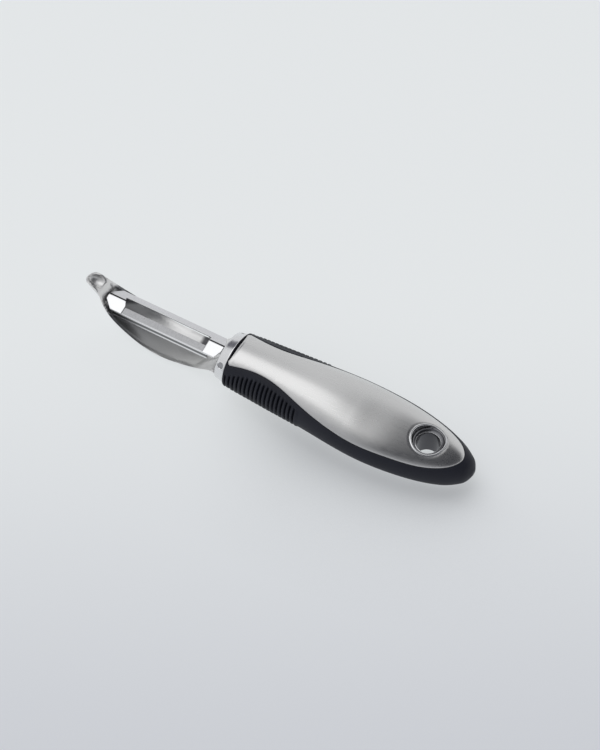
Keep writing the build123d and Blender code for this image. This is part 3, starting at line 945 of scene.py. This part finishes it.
head_finish = brushed_steel("head_steel", (0.78, 0.775, 0.77), 0.4, 0.36, shade=shaded_trough)
head = smooth_copy("head_frame", "head_casting", head_finish, crease_angle)
sliver = 0.15 * mm
ledge = 1.0 * mm
ledge_front = -0.057
ledge_rear = -0.043
ledge_inner = 0.007
ledge_rounds = 40
rim = bmesh.new()
rim.from_mesh(head.data)
bmesh.ops.remove_doubles(rim, verts=rim.verts, dist=sliver)
bmesh.ops.dissolve_degenerate(rim, edges=rim.edges, dist=sliver / 10)
# Tiny steps in the middle of both rims are eased until they are even.
rough = [v for v in rim.verts if ledge_front < v.co.x < ledge_rear and abs(v.co.y) > ledge_inner]
rough = [v for v in rough if v.link_edges and min(e.calc_length() for e in v.link_edges) < ledge]
for _ in range(ledge_rounds):
    bmesh.ops.smooth_vert(rim, verts=rough, factor=0.5, use_axis_x=True, use_axis_y=True, use_axis_z=True)
rim.to_mesh(head.data)
rim.free()
head.data.set_sharp_from_angle(angle=math.radians(crease_angle))
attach(head, "handle")

# Blade
# A pressed channel of hardened steel with a long slot. Its two strips are ground across, the ends
# beside the slot stay bright with a painted highlight on the near ones, and the outer edges are turned down.
strip_start = -0.0781
strip_end = -0.0351
strip_fall = 0.233
bend_y = -0.006
slit_y = 0.0008
slot_half = 0.0028
skirt_top = 0.0147
skirt_dark_top = 0.0140
skirt_dark_end = 0.0127
rounding_width = 0.9
bend_share = 1.0
edge_share = 0.25

blade_finish = Finish("blade_steel")
bx, by, bz = blade_finish.axes(blade_finish.place())
grind = blade_finish.noise((1, 0.05, 1), 3600.0, 2.0)
hatch = blade_finish.noise((0.10, 1, 1), 2600.0, 2.0)
cloud = blade_finish.noise((0.5, 1, 1), 120.0, 3.0)


def band(value, low, high, soft):
    """1 between two values and 0 outside, with soft borders."""
    return blade_finish.ramp(value, low - soft, low) * (1 - blade_finish.ramp(value, high, high + soft))


roof = blade_finish.ramp(bz, skirt_top, skirt_top + 0.0003)
ground = band(bx, strip_start, strip_end, 0.0003) * roof
near_ground = ground * (1 - blade_finish.ramp(by, slit_y - 0.0004, slit_y))
near_ground = near_ground * blade_finish.ramp(by, bend_y + 0.0001, bend_y + 0.0005)
# Painted shade along the step where the near ground strip starts.
step_shade_line = band(bx, strip_start - 0.0003, strip_start, 0.0002) * roof
step_shade_line = step_shade_line * (1 - blade_finish.ramp(by, slit_y - 0.0008, slit_y - 0.0004))
# Painted shadow along the slit's crease between the blade's two halves.
slit_shadow_line = band(by, slit_y - 0.0003, slit_y + 0.0003, 0.0003) * roof * (1 - ground)
grain = grind * 0.7 + hatch * 0.3
# Painted light and shade: the near ground strip is darker and the far half paler than the steel itself, over
# the grind's real streaks.
near_tone = blade_finish.blend(grain, (0.36, 0.36, 0.37, 1), (0.80, 0.80, 0.81, 1))
far_tone = blade_finish.blend(grain, (0.62, 0.62, 0.63, 1), (0.92, 0.92, 0.94, 1))
far_side = blade_finish.ramp(by, slit_y, slit_y + 0.0004) * roof
# The near ends are bright unground steel, with a painted highlight on top.
tone = blade_finish.blend(near_ground, (0.88, 0.88, 0.89, 1), near_tone)
tone = blade_finish.blend(far_side, tone, far_tone)
# A painted dark reflection across the middle of the turned-down skirt.
skirt_dark_reflection = band(bz, skirt_dark_end, skirt_dark_top, 0.0003)
# Painted shade on the slot's steep walls.
facing = blade_finish.add("ShaderNodeNewGeometry", {}, {}, "Normal")
steep = 1 - blade_finish.ramp(blade_finish.axes(facing)[2], 0.80, 0.95)
slot_wall_shade = ground * band(by, -slot_half, slot_half, 0.0001) * steep
# The dark lines together are painted shade and a painted reflection, laid over the tone.
lines = (step_shade_line * 0.7 + slit_shadow_line + skirt_dark_reflection * 0.85 + slot_wall_shade * 0.8).at_most(1.0)
blade_finish.set(
    Base_Color=blade_finish.blend(lines, tone, (0.06, 0.06, 0.065, 1)),
    Metallic=1.0,
    Roughness=0.30 + (grain - 0.5) * 0.12 * ground + (cloud - 0.5) * 0.06,
)
ground_level = (bend_y - by) * near_ground * strip_fall
blade_finish.bump(ground_level + grain * ground * 0.000008)
blade = smooth_copy("blade", "slotted_blade", blade_finish, 30)
flat = bmesh.new()
flat.from_mesh(blade.data)
bmesh.ops.dissolve_limit(flat, angle_limit=math.radians(0.6), verts=flat.verts, edges=flat.edges)
rounding = flat.edges.layers.float.new("bevel_weight_edge")
for edge in flat.edges:
    outer = all(abs(v.co.y) > 5.9 * mm and 14.6 * mm < v.co.z < 15.6 * mm for v in edge.verts)
    sharp = len(edge.link_faces) == 2 and edge.calc_face_angle() > math.radians(35)
    in_slot = all(abs(v.co.y) < slot_half for v in edge.verts)
    if sharp and not in_slot:
        edge[rounding] = bend_share if outer else edge_share
flat.to_mesh(blade.data)
flat.free()
edge_round = blade.modifiers.new("edges", "BEVEL")
edge_round.width = rounding_width * mm
edge_round.segments = 3
edge_round.limit_method = "WEIGHT"
edge_round.harden_normals = True
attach(blade, "blade")
for node in ("front_pivot_pin", "rear_pivot_pin"):
    dress(node, pin_finish)

# Hidden parts
# The plastic core that carries the plates and the grip, the six plate studs and the tang's pin
# stay inside the handle. The core is moulded in plain black.
core_finish = Finish("core_plastic")
core_grain = core_finish.noise((1, 1, 1), 1400.0, 3.0)
core_finish.set(
    Base_Color=core_finish.blend(core_grain, (0.05, 0.05, 0.055, 1), (0.075, 0.075, 0.08, 1)),
    Roughness=0.48 + core_grain * 0.12,
)
core_finish.bump(core_grain * 0.00001)
dress("handle_core", core_finish)
for node in ("plate_studs", "tang_pin"):
    dress(node, pin_finish)
